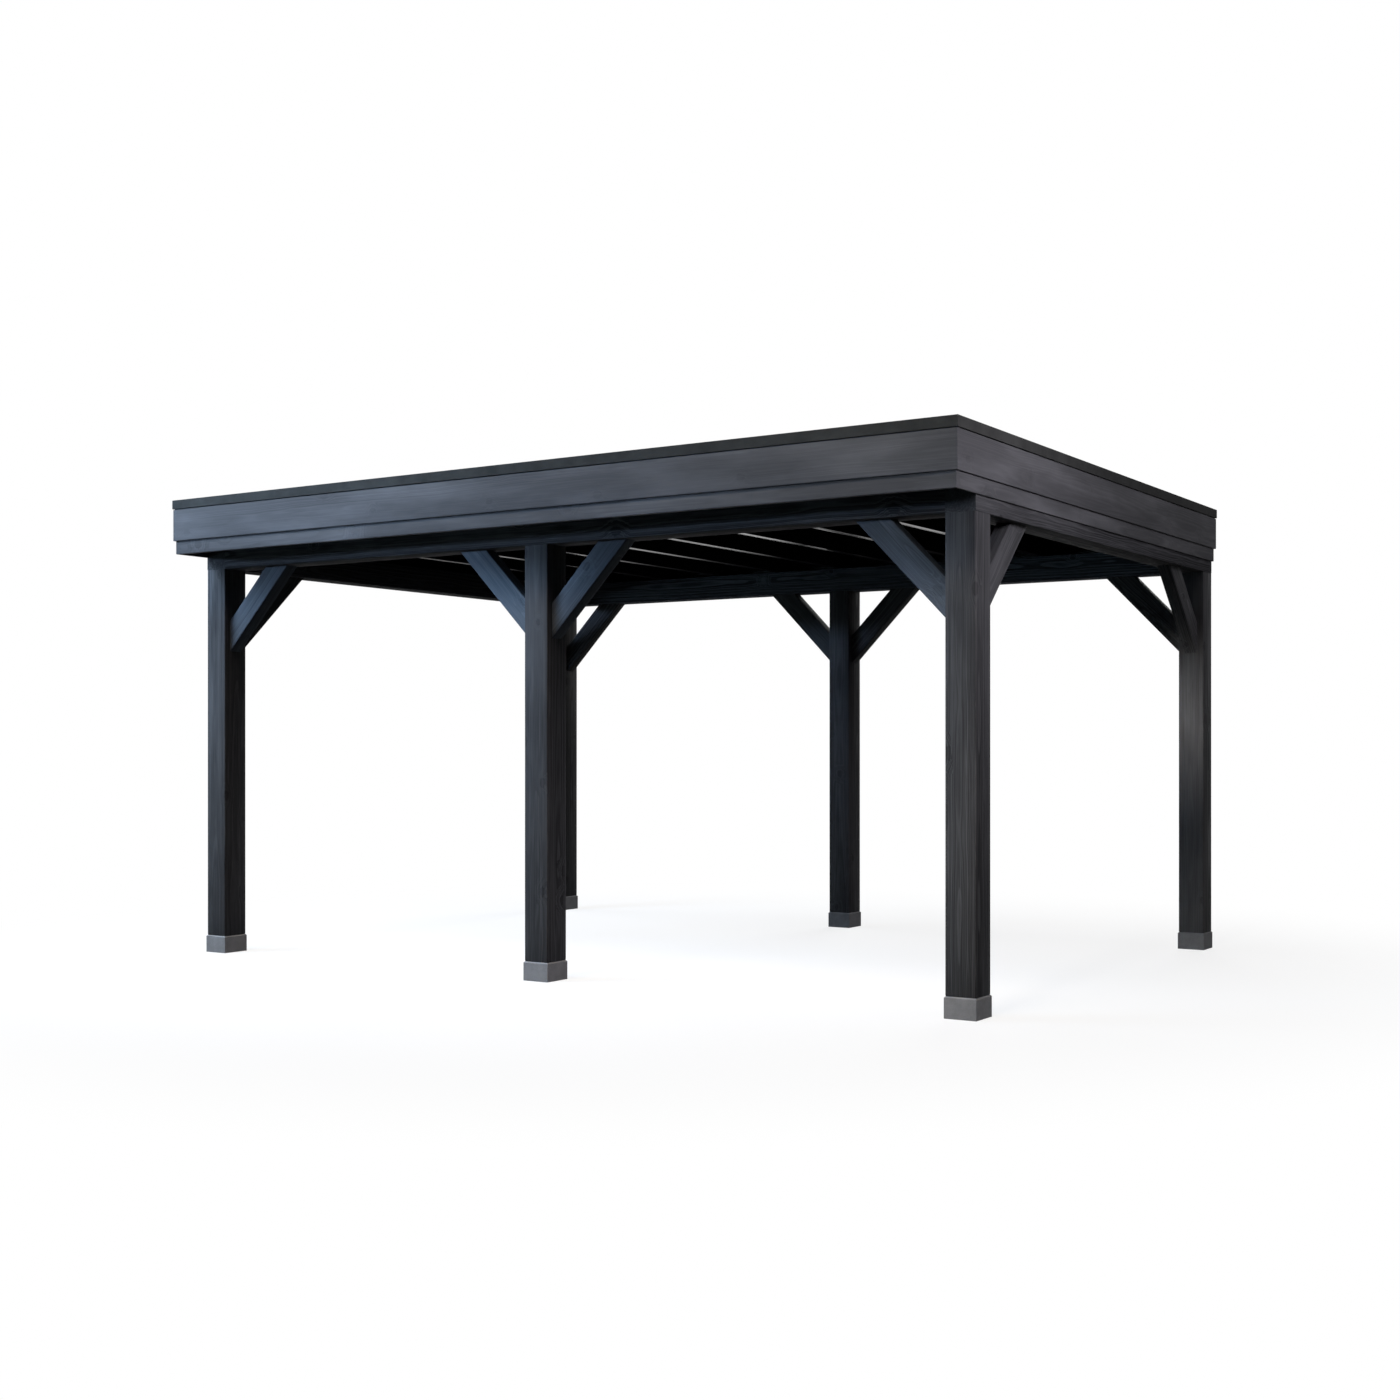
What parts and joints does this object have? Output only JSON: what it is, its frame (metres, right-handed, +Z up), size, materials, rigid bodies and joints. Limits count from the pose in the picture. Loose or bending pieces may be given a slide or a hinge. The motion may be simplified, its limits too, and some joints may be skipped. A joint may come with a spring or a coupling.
{
  "type": "patio canopy",
  "caption": "Free-standing flat-roofed timber patio canopy: open post frame with angle braces, rafters, boarded roof, stepped fascia and low concrete feet.",
  "frame": {"origin": "on the ground, under the middle of the roof's outer edge trim", "axes": "+X along the long side, from the first to the last post of a row; the front, with the deep roof overhang, faces -Y; +Z up"},
  "size_m": [5, 3.45, 2.6],
  "materials": {
    "stained_timber": "anthracite stained planed softwood",
    "fascia_timber": "anthracite stained planed softwood",
    "rafter_timber": "anthracite stained planed softwood",
    "deck_timber": "anthracite stained roof boards",
    "roof_felt": "mineral surfaced bitumen felt",
    "edge_trim": "dark powder coated",
    "foot_concrete": "fair-faced precast concrete"
  },
  "bodies": {
    "root": {"front_foot_1": "foot_concrete", "front_post_1": "stained_timber", "front_foot_2": "foot_concrete", "front_post_2": "stained_timber", "front_foot_3": "foot_concrete", "front_post_3": "stained_timber", "back_foot_1": "foot_concrete", "back_post_1": "stained_timber", "back_foot_2": "foot_concrete", "back_post_2": "stained_timber", "back_foot_3": "foot_concrete", "back_post_3": "stained_timber", "front_beam": "stained_timber", "back_beam": "stained_timber", "left_beam": "stained_timber", "right_beam": "stained_timber", "front_brace_1": "stained_timber", "front_brace_2": "stained_timber", "front_brace_3": "stained_timber", "front_brace_4": "stained_timber", "back_brace_1": "stained_timber", "back_brace_2": "stained_timber", "back_brace_3": "stained_timber", "back_brace_4": "stained_timber", "left_brace_front": "stained_timber", "left_brace_back": "stained_timber", "right_brace_front": "stained_timber", "right_brace_back": "stained_timber", "rafters": "rafter_timber", "roof_deck": "deck_timber", "roof_felt": "roof_felt", "front_upper_fascia": "fascia_timber", "front_lower_fascia": "fascia_timber", "front_edge_trim": "edge_trim", "right_upper_fascia": "fascia_timber", "right_lower_fascia": "fascia_timber", "right_edge_trim": "edge_trim", "back_upper_fascia": "fascia_timber", "back_lower_fascia": "fascia_timber", "back_edge_trim": "edge_trim", "left_upper_fascia": "fascia_timber", "left_lower_fascia": "fascia_timber", "left_edge_trim": "edge_trim"}
  },
  "joints": []
}
